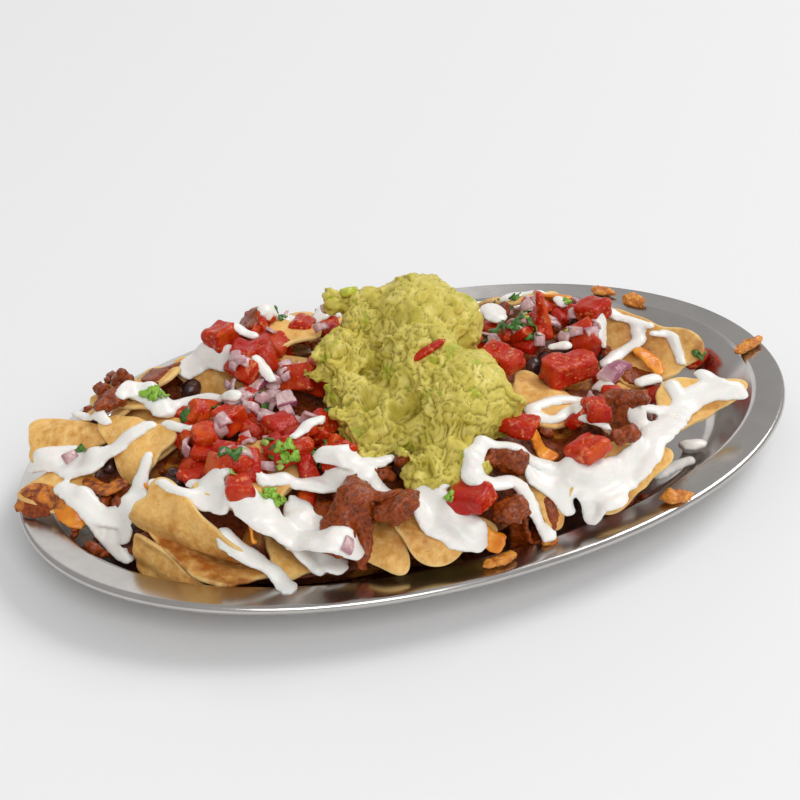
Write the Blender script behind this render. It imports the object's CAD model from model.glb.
import math
import random

import bmesh
import bpy
import numpy as np
from mathutils import Euler, Matrix, Vector, noise
from mathutils.bvhtree import BVHTree


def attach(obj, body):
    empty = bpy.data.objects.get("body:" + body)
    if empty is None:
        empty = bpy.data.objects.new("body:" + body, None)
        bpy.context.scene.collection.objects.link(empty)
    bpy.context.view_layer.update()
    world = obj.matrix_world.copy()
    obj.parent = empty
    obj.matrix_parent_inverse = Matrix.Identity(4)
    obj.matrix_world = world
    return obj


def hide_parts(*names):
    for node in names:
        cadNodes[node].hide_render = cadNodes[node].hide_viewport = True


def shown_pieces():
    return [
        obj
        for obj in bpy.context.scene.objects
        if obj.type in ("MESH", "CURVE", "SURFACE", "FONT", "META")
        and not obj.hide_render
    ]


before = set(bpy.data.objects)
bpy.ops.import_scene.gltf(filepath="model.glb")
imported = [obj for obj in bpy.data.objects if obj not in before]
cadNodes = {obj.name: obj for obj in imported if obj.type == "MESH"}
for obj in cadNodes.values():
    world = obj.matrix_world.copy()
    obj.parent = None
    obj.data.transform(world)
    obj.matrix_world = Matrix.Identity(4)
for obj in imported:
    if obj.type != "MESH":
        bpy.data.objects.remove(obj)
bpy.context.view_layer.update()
mm = 0.001
up = Vector((0, 0, 1))
sky = 200 * mm  # rays start here, above everything
noise.seed_set(7)  # without it the noise vectors follow the clock


def edgesOf(verts):
    # each edge once and always in the same order, which a set would not keep
    return list(dict.fromkeys(edge for vert in verts for edge in vert.link_edges))


def addPiece(name, shape, finish, slot, standsFor=()):
    # turns a bmesh into a smooth piece that rides on the platter
    mesh = bpy.data.meshes.new(name)
    shape.to_mesh(mesh)
    shape.free()
    mesh.shade_smooth()
    mesh.materials.append(finish)
    piece = bpy.data.objects.new(name, mesh)
    bpy.context.scene.collection.objects.link(piece)
    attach(piece, "root")
    if standsFor:
        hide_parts(*standsFor)
    return piece


def shapeWith(*layers):
    # an empty shape that keeps those values at its points, for the finishes to read
    shape = bmesh.new()
    for layer in layers:
        shape.verts.layers.float.new(layer)
    return shape


def treeOf(piece):
    shape = bmesh.new()
    shape.from_mesh(piece.data)
    tree = BVHTree.FromBMesh(shape)
    shape.free()
    return tree


def copyOfNode(name):
    shape = bmesh.new()
    shape.from_mesh(cadNodes[name].data)
    bmesh.ops.remove_doubles(shape, verts=shape.verts, dist=0.01 * mm)
    return shape


def remesh(shape, voxel, smoothing=2):
    # casts closed lumps that run into each other as one even skin
    mesh = bpy.data.meshes.new("cast")
    shape.to_mesh(mesh)
    shape.free()
    cast = bpy.data.objects.new("cast", mesh)
    bpy.context.scene.collection.objects.link(cast)
    voxels = cast.modifiers.new("voxels", "REMESH")
    voxels.mode = "VOXEL"
    voxels.voxel_size = voxel
    skin = bmesh.new()
    skin.from_object(cast, bpy.context.evaluated_depsgraph_get())
    bpy.data.objects.remove(cast)
    bpy.data.meshes.remove(mesh)
    for _ in range(smoothing):
        bmesh.ops.smooth_vert(skin, verts=skin.verts, factor=0.5,
                              use_axis_x=True, use_axis_y=True, use_axis_z=True)
    return skin


def roughen(shape, layers, seed=0):
    # layers are (size, depth) in mm; each moves the skin along its normal
    shape.normal_update()
    moves = []
    for vert in shape.verts:
        move = 0
        for number, (size, depth) in enumerate(layers):
            spot = vert.co / (size * mm) + Vector((seed * 3.7, number * 5.1, seed))
            move += depth * mm * noise.noise(spot)
        moves.append(vert.normal * move)
    for vert, move in zip(shape.verts, moves):
        vert.co += move


def roundGrid(shape, count, outline):
    # a grid of quads pulled out to a closed outline round the origin
    made = bmesh.ops.create_grid(shape, x_segments=count, y_segments=count, size=1)["verts"]
    for vert in made:
        x, y = vert.co.x, vert.co.y
        u, v = x * math.sqrt(1 - y * y / 2), y * math.sqrt(1 - x * x / 2)
        reach = outline(math.atan2(v, u))
        vert.co = (u * reach, v * reach, 0)
    return made


def smoothStep(low, high, value):
    part = min(max((value - low) / (high - low), 0), 1)
    return part * part * (3 - 2 * part)


def newFinish(name, colour, roughness, **sockets):
    finish = bpy.data.materials.new(name)
    finish.use_nodes = True
    shader = finish.node_tree.nodes["Principled BSDF"]
    shader.inputs["Base Color"].default_value = (*colour, 1)
    shader.inputs["Roughness"].default_value = roughness
    for socket, value in sockets.items():
        shader.inputs[socket.replace("_", " ")].default_value = value
    return finish


def addNode(finish, kind, inputs=(), **settings):
    # inputs are (socket, value or link)
    tree = finish.node_tree
    node = tree.nodes.new("ShaderNode" + kind)
    for key, value in settings.items():
        setattr(node, key, value)
    for socket, value in inputs:
        if isinstance(value, bpy.types.NodeSocket):
            tree.links.new(value, node.inputs[socket])
        else:
            node.inputs[socket].default_value = value
    return node


def place(finish, stretch=(1, 1, 1), turn=(0, 0, 0)):
    # where a point lies on the piece, for a pattern that may be stretched and turned
    spot = addNode(finish, "TexCoord").outputs["Object"]
    return addNode(finish, "Mapping", [("Vector", spot), ("Scale", stretch),
                                       ("Rotation", turn)]).outputs["Vector"]


def cloud(finish, size, detail=3, low=0.35, high=0.65, spot=None):
    # soft noise of that size in mm, spread over 0 to 1
    spot = spot or place(finish)
    grain = addNode(finish, "TexNoise", [("Vector", spot), ("Scale", 1 / (size * mm)),
                                         ("Detail", detail)])
    return spread(finish, grain.outputs["Fac"], low, high)


def spread(finish, value, low, high, start=0, end=1):
    # carries low to high over to start to end
    return addNode(finish, "MapRange", [("Value", value), ("From Min", low), ("From Max", high),
                                        ("To Min", start), ("To Max", end)]).outputs["Result"]


def cells(finish, size, low, high):
    # grains of that size in mm, from 0 at their middles to 1 at their edges
    cell = addNode(finish, "TexVoronoi", [("Vector", place(finish)), ("Scale", 1 / (size * mm))])
    return spread(finish, cell.outputs["Distance"], low, high)


def attribute(finish, name):
    return addNode(finish, "Attribute", attribute_name=name).outputs["Fac"]


def mixIn(finish, factor, first, second, blend="MIX"):
    node = addNode(finish, "Mix", data_type="RGBA", blend_type=blend)
    tree = finish.node_tree
    for number, value in ((0, factor), (6, first), (7, second)):
        if isinstance(value, bpy.types.NodeSocket):
            tree.links.new(value, node.inputs[number])
        else:
            node.inputs[number].default_value = value if number == 0 else (*value, 1)
    return node.outputs[2]


def times(finish, first, second):
    return addNode(finish, "Math", [(0, first), (1, second)], operation="MULTIPLY").outputs[0]


def bump(finish, height, distance, strength=1.0, normal=None):
    # distance in mm
    inputs = [("Height", height), ("Distance", distance * mm), ("Strength", strength)]
    if normal:
        inputs.append(("Normal", normal))
    return addNode(finish, "Bump", inputs).outputs["Normal"]


def wire(finish, colour=None, roughness=None, normal=None):
    shader = finish.node_tree.nodes["Principled BSDF"]
    for socket, value in (("Base Color", colour), ("Roughness", roughness), ("Normal", normal)):
        if value:
            finish.node_tree.links.new(value, shader.inputs[socket])
    return finish


def makeSteel():
    steel = newFinish("steel_satin", (0.62, 0.60, 0.585), 0.2, Metallic=1.0)
    streaks = cloud(steel, 0.5, 2, 0.3, 0.7, place(steel, (0.04, 1, 1), (0, 0, 0.3)))
    smears = cloud(steel, 22, 4, 0.35, 0.7)
    dents = cloud(steel, 30, 1, 0, 1)
    marks = addNode(steel, "Math", [(0, smears), (1, streaks)], operation="ADD").outputs[0]
    rough = spread(steel, marks, 0, 2, 0.13, 0.28)
    colour = mixIn(steel, smears, (0.60, 0.575, 0.555), (0.50, 0.48, 0.46))
    normal = bump(steel, dents, 0.5, 0.15)
    return wire(steel, colour, rough, bump(steel, streaks, 0.02, 0.2, normal))


def makeChipFinish():
    chip = newFinish("chip_fried", (0.68, 0.43, 0.20), 0.6, Specular_IOR_Level=0.25,
                     Subsurface_Weight=0.06, Subsurface_Scale=0.002,
                     Subsurface_Radius=(1, 0.5, 0.2))
    toast = cloud(chip, 16, 3, 0.38, 0.68)
    mottle = cloud(chip, 3.2, 4, 0.35, 0.7)
    specks = cloud(chip, 0.9, 2, 0.62, 0.72)
    grain = cloud(chip, 0.45, 3, 0.2, 0.8)
    bubbles = cells(chip, 2.6, 0.05, 0.42)
    colour = mixIn(chip, toast, (0.84, 0.49, 0.135), (0.60, 0.26, 0.042))
    colour = mixIn(chip, mottle, colour, (0.88, 0.56, 0.20))
    colour = mixIn(chip, times(chip, cells(chip, 3.4, 0.16, 0.02), 0.5), colour,
                   (0.52, 0.22, 0.04))
    colour = mixIn(chip, times(chip, specks, 0.55), colour, (0.42, 0.20, 0.06))
    colour = mixIn(chip, attribute(chip, "rim"), colour, (0.86, 0.60, 0.24))
    stain = times(chip, attribute(chip, "stain"), cloud(chip, 5, 4, 0.3, 0.62))
    colour = mixIn(chip, times(chip, stain, 0.92), colour, (0.40, 0.115, 0.014))
    rough = spread(chip, stain, 0, 1, 0.62, 0.34)
    normal = bump(chip, bubbles, 0.4, 0.45)
    return wire(chip, colour, rough, bump(chip, grain, 0.12, 0.5, normal))


def makeChilli():
    chilli = newFinish("chilli_sauce", (0.16, 0.03, 0.006), 0.28, Specular_IOR_Level=0.4)
    patches = cloud(chilli, 11, 4, 0.42, 0.6)
    cheese = cloud(chilli, 17, 4, 0.56, 0.64, place(chilli, (1, 1.2, 1), (0, 0, 1)))
    crumbs = cells(chilli, 2.2, 0.1, 0.7)
    colour = mixIn(chilli, patches, (0.045, 0.008, 0.003), (0.19, 0.030, 0.006))
    colour = mixIn(chilli, crumbs, colour, (0.28, 0.055, 0.010))
    colour = mixIn(chilli, cheese, colour, (0.66, 0.25, 0.03))
    rough = spread(chilli, cloud(chilli, 2.5, 3), 0, 1, 0.22, 0.5)
    return wire(chilli, colour, rough, bump(chilli, cloud(chilli, 1.2, 4), 0.3, 0.6))


def makeGuacamoleFinish():
    guacamole = newFinish("guacamole_mashed", (0.64, 0.52, 0.12), 0.36, Specular_IOR_Level=0.4,
                          Subsurface_Weight=0.12, Subsurface_Scale=0.003,
                          Subsurface_Radius=(1, 0.9, 0.3))
    marble = cloud(guacamole, 13, 5, 0.36, 0.66)
    mash = cloud(guacamole, 6.5, 5, 0.40, 0.66)
    flesh = cloud(guacamole, 9, 3, 0.60, 0.66)
    specks = cloud(guacamole, 1.3, 2, 0.68, 0.74)
    skin = cloud(guacamole, 1.9, 2, 0.67, 0.72)
    colour = mixIn(guacamole, marble, (0.63, 0.51, 0.085), (0.46, 0.40, 0.040))
    colour = mixIn(guacamole, mash, colour, (0.76, 0.635, 0.155))
    colour = mixIn(guacamole, flesh, colour, (0.42, 0.44, 0.03))
    colour = mixIn(guacamole, times(guacamole, specks, 0.4), colour,
                   (0.16, 0.17, 0.03))
    colour = mixIn(guacamole, times(guacamole, skin, 0.5), colour,
                   (0.20, 0.09, 0.06))
    colour = mixIn(guacamole, attribute(guacamole, "fold"), colour, (0.30, 0.25, 0.02))
    rough = spread(guacamole, mash, 0, 1, 0.5, 0.34)
    normal = bump(guacamole, cloud(guacamole, 2.2, 5), 0.5, 0.4)
    return wire(guacamole, colour, rough, normal)


def makeTomatoFinish():
    tomato = newFinish("tomato_cut", (0.62, 0.05, 0.01), 0.2, Specular_IOR_Level=0.28,
                       Subsurface_Weight=0.03, Subsurface_Scale=0.002,
                       Subsurface_Radius=(1, 0.25, 0.1))
    flesh = mixIn(tomato, cloud(tomato, 5, 4, 0.35, 0.65), (0.44, 0.006, 0.001),
                  (0.52, 0.032, 0.004))
    flesh = mixIn(tomato, cloud(tomato, 1.2, 3, 0.60, 0.78), flesh, (0.66, 0.12, 0.02))
    flesh = mixIn(tomato, cloud(tomato, 3, 2, 0.57, 0.66), flesh, (0.66, 0.17, 0.055))
    flesh = mixIn(tomato, times(tomato, cells(tomato, 3.2, 0.16, 0.12), 0.8), flesh,
                  (0.70, 0.36, 0.09))
    tint = mixIn(tomato, attribute(tomato, "tint"), (0.40, 0.004, 0.002), (0.66, 0.09, 0.006))
    skin = mixIn(tomato, cloud(tomato, 7, 3, 0.4, 0.7), tint, (0.44, 0.006, 0.003))
    colour = mixIn(tomato, attribute(tomato, "skin"), flesh, skin)
    rough = spread(tomato, cloud(tomato, 2, 3, 0.35, 0.65), 0, 1, 0.10, 0.30)
    return wire(tomato, colour, rough, bump(tomato, cloud(tomato, 1.5, 3), 0.35, 0.5))


def makeOnionFinish():
    onion = newFinish("onion_red", (0.68, 0.50, 0.50), 0.25, Subsurface_Weight=0.2,
                      Subsurface_Scale=0.003, Specular_IOR_Level=0.5)
    veins = cloud(onion, 0.9, 3, 0.4, 0.6, place(onion, (1, 0.25, 1), (0, 0, 0.7)))
    colour = mixIn(onion, veins, (0.72, 0.55, 0.52), (0.60, 0.38, 0.40))
    colour = mixIn(onion, attribute(onion, "skin"), colour, (0.30, 0.06, 0.12))
    return wire(onion, colour, None, bump(onion, veins, 0.1, 0.4))


def makeBeefFinish():
    beef = newFinish("beef_chilli", (0.18, 0.03, 0.006), 0.28, Specular_IOR_Level=0.35)
    grains = cells(beef, 1.6, 0.1, 0.75)
    blush = cloud(beef, 4, 4, 0.4, 0.65)
    colour = mixIn(beef, blush, (0.085, 0.009, 0.001), (0.24, 0.032, 0.003))
    colour = mixIn(beef, times(beef, grains, 0.55), colour, (0.42, 0.085, 0.008))
    rough = spread(beef, cloud(beef, 1.8, 3), 0, 1, 0.14, 0.36)
    return wire(beef, colour, rough, bump(beef, cloud(beef, 1.1, 3), 0.3, 0.5))


def makeCheeseFinish():
    cheese = newFinish("cheese_melted", (0.82, 0.29, 0.02), 0.28, Subsurface_Weight=0.15,
                       Subsurface_Scale=0.002)
    blush = cloud(cheese, 5, 4, 0.35, 0.65)
    colour = mixIn(cheese, blush, (0.86, 0.34, 0.03), (0.74, 0.20, 0.008))
    return wire(cheese, colour, None, bump(cheese, cloud(cheese, 2, 3), 0.2, 0.4))


def makeCrustFinish(name, light, dark):
    crust = newFinish(name, light, 0.45)
    browned = cloud(crust, 3.5, 5, 0.40, 0.62)
    pores = cells(crust, 1.3, 0.05, 0.5)
    colour = mixIn(crust, browned, light, dark)
    colour = mixIn(crust, times(crust, cloud(crust, 1.2, 3, 0.55, 0.7), 0.6), colour,
                   (0.20, 0.04, 0.01))
    rough = spread(crust, browned, 0, 1, 0.38, 0.6)
    return wire(crust, colour, rough, bump(crust, pores, 0.4, 0.7))


def makeCremaFinish():
    crema = newFinish("crema", (0.88, 0.86, 0.815), 0.24, Subsurface_Weight=0.25,
                      Subsurface_Scale=0.003, Specular_IOR_Level=0.4)
    tint = cloud(crema, 9, 3, 0.4, 0.7)
    colour = mixIn(crema, tint, (0.875, 0.855, 0.815), (0.84, 0.815, 0.77))
    rough = spread(crema, cloud(crema, 6, 2), 0, 1, 0.2, 0.34)
    return wire(crema, colour, rough, bump(crema, cloud(crema, 3.5, 2), 0.2, 0.25))


def makeHerbFinish(name, dark, light):
    herb = newFinish(name, dark, 0.4, Subsurface_Weight=0.1, Subsurface_Scale=0.001)
    veins = cloud(herb, 1.4, 3, 0.35, 0.65)
    return wire(herb, mixIn(herb, veins, dark, light), None, bump(herb, veins, 0.15, 0.5))


def makeBeanFinish():
    bean = newFinish("bean_black", (0.025, 0.012, 0.012), 0.26, Specular_IOR_Level=0.5)
    colour = mixIn(bean, cloud(bean, 4, 3, 0.4, 0.65), (0.022, 0.010, 0.011),
                   (0.10, 0.035, 0.025))
    return wire(bean, colour, None, bump(bean, cloud(bean, 1.5, 2), 0.1, 0.4))


def makeAvocadoFinish():
    avocado = newFinish("avocado_chunk", (0.62, 0.60, 0.05), 0.3, Subsurface_Weight=0.15,
                        Subsurface_Scale=0.002)
    blush = cloud(avocado, 4, 3, 0.35, 0.65)
    colour = mixIn(avocado, blush, (0.68, 0.64, 0.09), (0.42, 0.50, 0.03))
    return wire(avocado, colour, None, bump(avocado, cloud(avocado, 1.6, 3), 0.2, 0.3))


finishes = {
    "avocado": makeAvocadoFinish(),
    "steel": makeSteel(),
    "chip": makeChipFinish(),
    "chilli": makeChilli(),
    "guacamole": makeGuacamoleFinish(),
    "tomato": makeTomatoFinish(),
    "onion": makeOnionFinish(),
    "beef": makeBeefFinish(),
    "cheese": makeCheeseFinish(),
    "crust": makeCrustFinish("cheese_baked", (0.80, 0.33, 0.040), (0.54, 0.155, 0.020)),
    "burnt": makeCrustFinish("cheese_burnt", (0.62, 0.19, 0.015), (0.17, 0.028, 0.005)),
    "crema": makeCremaFinish(),
    "bean": makeBeanFinish(),
    "coriander": makeHerbFinish("herb_dark", (0.035, 0.12, 0.015), (0.08, 0.22, 0.03)),
    "leaf_dark": makeHerbFinish("leaf_dark", (0.03, 0.11, 0.012), (0.09, 0.24, 0.03)),
    "leaf_light": makeHerbFinish("leaf_light", (0.16, 0.36, 0.02), (0.34, 0.56, 0.06)),
    "scallion": makeHerbFinish("herb_light", (0.30, 0.48, 0.06), (0.50, 0.62, 0.16)),
}


platter = {
    "length": 350, "width": 220, "height": 22, "squareness": 2.08, "sheet": 0.8,
    "bead": 1.5, "flatStart": 0.8, "rimWidth": 14, "rimFall": 0.4, "shoulder": 2.5,
    "wallRun": 16, "foot": 9, "floorRings": (3, 20, 45), "sides": 240, "bendSteps": 8,
}


def ovalPoint(turn, inset):
    a, b = platter["length"] / 2, platter["width"] / 2
    n = platter["squareness"]
    c, s = math.cos(turn), math.sin(turn)
    x = a * math.copysign(abs(c) ** (2 / n), c)
    y = b * math.copysign(abs(s) ** (2 / n), s)
    out = Vector((math.copysign(abs(x / a) ** (n - 1) / a, c),
                  math.copysign(abs(y / b) ** (n - 1) / b, s))).normalized()
    return Vector((x, y)) - out * inset


def platterProfile():
    # (inset, height) of the sheet's middle in mm, from the rolled edge to the floor
    p = platter
    top = p["height"] - p["sheet"] / 2
    low = p["sheet"] / 2
    steep = math.atan2(top - p["rimFall"] - low, p["wallRun"])
    halfBend = math.tan(steep / 2)
    steps = p["bendSteps"]
    # the rolled edge turns from below the rim round to its top
    bead = [(p["sheet"] / 2 + p["bead"] * (1 - math.cos(math.radians(t))),
             top - p["bead"] * (1 - math.sin(math.radians(t))))
            for t in range(-100, 91, 19)]
    flat = [(p["sheet"] / 2 + p["bead"] + p["flatStart"], top)]
    shoulder = [(p["rimWidth"] - p["shoulder"] * (halfBend - math.sin(steep * t / steps)),
                 top - p["rimFall"] - p["shoulder"] * (1 - math.cos(steep * t / steps)))
                for t in range(steps + 1)]
    foot = [(p["rimWidth"] + p["wallRun"] + p["foot"] * (halfBend - math.sin(steep * t / steps)),
             low + p["foot"] * (1 - math.cos(steep * t / steps)))
            for t in range(steps, -1, -1)]
    centre = [(foot[-1][0] + ring, low) for ring in p["floorRings"]]
    return bead + flat + shoulder + foot + centre


def makePlatter():
    shape = bmesh.new()
    turns = [2 * math.pi * i / platter["sides"] for i in range(platter["sides"])]
    bmesh.ops.create_circle(shape, segments=platter["sides"], radius=1)
    ring = list(shape.verts)
    edges = list(shape.edges)
    for step, (inset, height) in enumerate(platterProfile()):
        if step:
            grown = bmesh.ops.extrude_edge_only(shape, edges=edges)["geom"]
            ring = [part for part in grown if isinstance(part, bmesh.types.BMVert)]
            here = set(ring)
            edges = [part for part in grown if isinstance(part, bmesh.types.BMEdge)
                     and part.verts[0] in here and part.verts[1] in here]
        ring.sort(key=lambda vert: math.atan2(vert.co.y, vert.co.x) % (2 * math.pi))
        for vert, turn in zip(ring, turns):
            x, y = ovalPoint(turn, inset) * mm
            vert.co = (x, y, height * mm)
    bmesh.ops.contextual_create(shape, geom=edges)
    bmesh.ops.recalc_face_normals(shape, faces=shape.faces)
    piece = addPiece("platter_pressed", shape, finishes["steel"], "steel", ["platter"])
    sheet = piece.modifiers.new("sheet", "SOLIDIFY")
    sheet.thickness = platter["sheet"] * mm
    sheet.offset = 0
    return piece


platterPiece = makePlatter()
print("platter done")


# edgeRise lifts the core's edge up the platter's wall, over the outer part of its reach;
# beside is the height that counts where the heap ends
core = {
    "centre": (-18, -5), "length": 268, "width": 144, "cells": 110, "below": 3.0, "spread": 5,
    "beside": 6,
    "bottom": 1.2, "edgeRise": 14, "edgeStart": 0.82, "fadeStart": 0.97, "edgeSheet": 0.4,
    "relief": ((10, 3.2), (4.5, 1.8), (2.0, 0.7)),
}


def makeCore():
    # follows the heap a little lower, so that the loose things lie on it
    source = copyOfNode("heap")
    tree = BVHTree.FromBMesh(source)
    source.free()

    def heapTop(x, y):
        around = []
        for dx, dy in ((0, 0), (1, 0), (-1, 0), (0, 1), (0, -1)):
            start = Vector((x + dx * core["spread"] * mm, y + dy * core["spread"] * mm, sky))
            hit = tree.ray_cast(start, -up)[0]
            around.append(hit.z if hit else core["beside"] * mm)
        return sum(around) / len(around)

    def outline(turn):
        wobble = 1 + 0.03 * math.sin(3 * turn + 1) + 0.02 * math.sin(7 * turn)
        a, b = core["length"] / 2, core["width"] / 2
        return wobble * a * b / math.hypot(b * math.cos(turn), a * math.sin(turn)) * mm

    shape = bmesh.new()
    roundGrid(shape, core["cells"], outline)
    grown = bmesh.ops.extrude_face_region(shape, geom=list(shape.faces))["geom"]
    raised = {part for part in grown if isinstance(part, bmesh.types.BMVert)}
    middle = Vector(core["centre"]) * mm
    for vert in shape.verts:
        spot = vert.co.xy + middle
        reach = vert.co.xy.length / outline(math.atan2(vert.co.y, vert.co.x))
        low = core["bottom"] * mm + core["edgeRise"] * mm * smoothStep(core["edgeStart"], 1, reach)
        if vert in raised:
            relief = sum(depth * mm * noise.noise(Vector((*spot, number * 0.01)) / (size * mm))
                         for number, (size, depth) in enumerate(core["relief"]))
            fade = 1 - smoothStep(core["fadeStart"], 1, reach)
            high = heapTop(*spot) - core["below"] * mm + relief
            least = low + core["edgeSheet"] * mm * fade
            vert.co = (*spot, max(high * fade + low * (1 - fade), least))
        else:
            vert.co = (*spot, low)
    bmesh.ops.recalc_face_normals(shape, faces=shape.faces)
    return addPiece("chilli_core", shape, finishes["chilli"], "beans", ["heap"])


corePiece = makeCore()
print("core done")


# three corners and how far the middle bulges in mm, and in degrees the way it stays straight
chips = {
    "left_end": ((-173, 16, 28), (-140, 20, 33), (-152, -9, 26), 1, 0),
    "left_back": ((-154, 43, 43), (-162, 24, 34), (-126, 18, 44), 2, 60),
    "left_far": ((-132, 40, 46), (-106, 20, 48), (-112, 60, 43), 1.5, 0),
    "left": ((-132, 27, 47), (-129, -2, 30), (-108, 2, 48), 3.5, 30),
    "curled": ((-123, -31, 51), (-136, -28, 29), (-96, -69, 23), 7, 100),
    "under_curled": ((-133, -27, 30), (-120, -64, 21), (-96, -67, 20), -3, 100),
    "folded": ((-136, -29, 27), (-138, -33, 9), (-121, -63, 15), 0, 60),
    "bridge": ((-115, -37, 49), (-98, -63, 42), (-80, -46, 47), 1.5, 20),
    "standing": ((-93, 48, 51), (-82, 26, 38), (-64, 38, 55), -1.5, 60),
    "front_low": ((-76, -70, 32), (-52, -95, 25), (-46, -62, 41), 1.5, 0),
    "front_round": ((-52, -68, 43), (-44, -98, 28), (-12, -94, 34), 2, 60),
    "cheesy": ((6, -72, 44), (12, -98, 26), (27, -84, 40), 2, 30),
    "pooled": ((34, -72, 45), (36, -99, 26), (74, -84, 36), 2, 60),
    "edge": ((30, -38, 47), (29, -60, 45), (62, -50, 43), 1.5, 30),
    "right_tip": ((82, -66, 31), (130, -58, 37), (96, -44, 42), -2, 90),
    "right_back": ((92, 10, 50), (88, -30, 34), (126, -30, 45), -4, 30),
    "back_right": ((74, 36, 46), (104, 62, 27), (62, 76, 26), 2, 60),
    "back_left": ((-36, 50, 44), (-16, 84, 25), (-62, 80, 26), 2, 60),
}
# how far the sauce has soaked into some of them
soaked = {"right_back": 0.9, "under_curled": 2.2, "edge": 0.7, "cheesy": 0.6, "front_low": 0.6,
          "left_end": 0.5, "curled": 0.8, "folded": 0.8}
# pointed and square shape the outline; blisters are (size, depth) in mm
chipForm = {"thickness": 1.9, "cells": 22, "ripple": 1.3, "corner": 1.3, "pointed": 0.24,
            "square": 0.06, "rimStart": 0.93, "rimThinner": 0.2,
            "blisters": ((9, 0.7), (4.5, 0.45), (2.2, 0.15))}
triangle = [Vector((math.cos(turn), math.sin(turn)))
            for turn in (0, 2 * math.pi / 3, 4 * math.pi / 3)]


def chipInto(shape, corners, bulge, grain, seed, cellCount, coreTree, soak=0.0):
    # a curled rounded triangle through three corners, its faces blistered apart
    a, b, c = (Vector(corner) * mm for corner in corners)
    face = (b - a).cross(c - a).normalized()
    if face.z < 0:
        face.negate()
    along = math.radians(grain)
    across = Vector((-math.sin(along), math.cos(along)))
    fallAt = [corner.dot(across) ** 2 for corner in triangle]

    def outline(turn):
        uneven = 0.03 * math.sin(2 * turn + seed) + 0.02 * math.sin(5 * turn + 2 * seed)
        fine = 0.03 * noise.noise(Vector((math.cos(turn) * 3, math.sin(turn) * 3, seed)))
        return (1 + chipForm["pointed"] * math.cos(3 * turn)
                + chipForm["square"] * math.cos(6 * turn) + uneven + fine)

    rim = shape.verts.layers.float["rim"]
    stain = shape.verts.layers.float["stain"]
    before = set(shape.faces)
    made = roundGrid(shape, cellCount, outline)
    for vert in made:
        reach = vert.co.xy.length / outline(math.atan2(vert.co.y, vert.co.x))
        vert[rim] = smoothStep(chipForm["rimStart"], 1, reach)
        spot = vert.co.xy / chipForm["corner"]
        shares = [(1 + 2 * corner.dot(spot)) / 3 for corner in triangle]
        flat = sum((share * corner for share, corner in zip(shares, (a, b, c))), Vector())
        fall = sum(share * part for share, part in zip(shares, fallAt))
        curl = 2 * bulge * mm * (fall - spot.dot(across) ** 2)
        ripple = (chipForm["ripple"] * mm * math.sin(5 * spot.x + seed)
                  * math.sin(4 * spot.y + 2 * seed))
        vert.co = flat + face * (curl + ripple)
    grid = [part for part in shape.faces if part not in before]
    shape.normal_update()
    flip = -1 if sum((vert.normal for vert in made), Vector()).dot(face) < 0 else 1
    outward = {tuple(vert.co): vert.normal * flip for vert in made}
    grown = bmesh.ops.extrude_face_region(shape, geom=grid)["geom"]
    raisedVerts = [part for part in grown if isinstance(part, bmesh.types.BMVert)]
    half = chipForm["thickness"] * mm / 2
    for side, verts in ((1, raisedVerts), (-1, made)):
        for vert in verts:
            raised = sum(depth * mm * max(0, noise.noise(vert.co / (size * mm) + up * seed * side))
                         for size, depth in chipForm["blisters"])
            thick = half * (1 - chipForm["rimThinner"] * vert[rim]) + raised * (1 - vert[rim])
            vert.co += outward[tuple(vert.co)] * side * thick
    for vert in list(made) + raisedVerts:
        # sauce stains what lies within 6 mm of the core, some patches, and what it soaked into
        under = coreTree.ray_cast(vert.co + up * 50 * mm, -up)[0]
        near = (vert.co.z - under.z) / mm if under else 20
        patch = smoothStep(0.12, 0.4, noise.noise(vert.co / (13 * mm) + up * seed))
        wet = soak * smoothStep(-0.1, 0.35, noise.noise(vert.co / (16 * mm) - up * seed))
        vert[stain] = min(1, max(1 - smoothStep(0.5, 6, near), 0.45 * patch, wet))


coreTree = treeOf(corePiece)
for seed, (name, (a, b, c, bulge, grain)) in enumerate(chips.items()):
    shape = shapeWith("rim", "stain")
    chipInto(shape, (a, b, c), bulge, grain, seed, chipForm["cells"], coreTree,
             soaked.get(name, 0))
    bmesh.ops.recalc_face_normals(shape, faces=shape.faces)
    node = "chip_" + name
    piece = addPiece("fried_" + name, shape, finishes["chip"], "chip",
                     [node] if node in cadNodes else [])
    smooth = piece.modifiers.new("smooth", "SUBSURF")
    smooth.levels = smooth.render_levels = 1
print("chips done")


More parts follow.
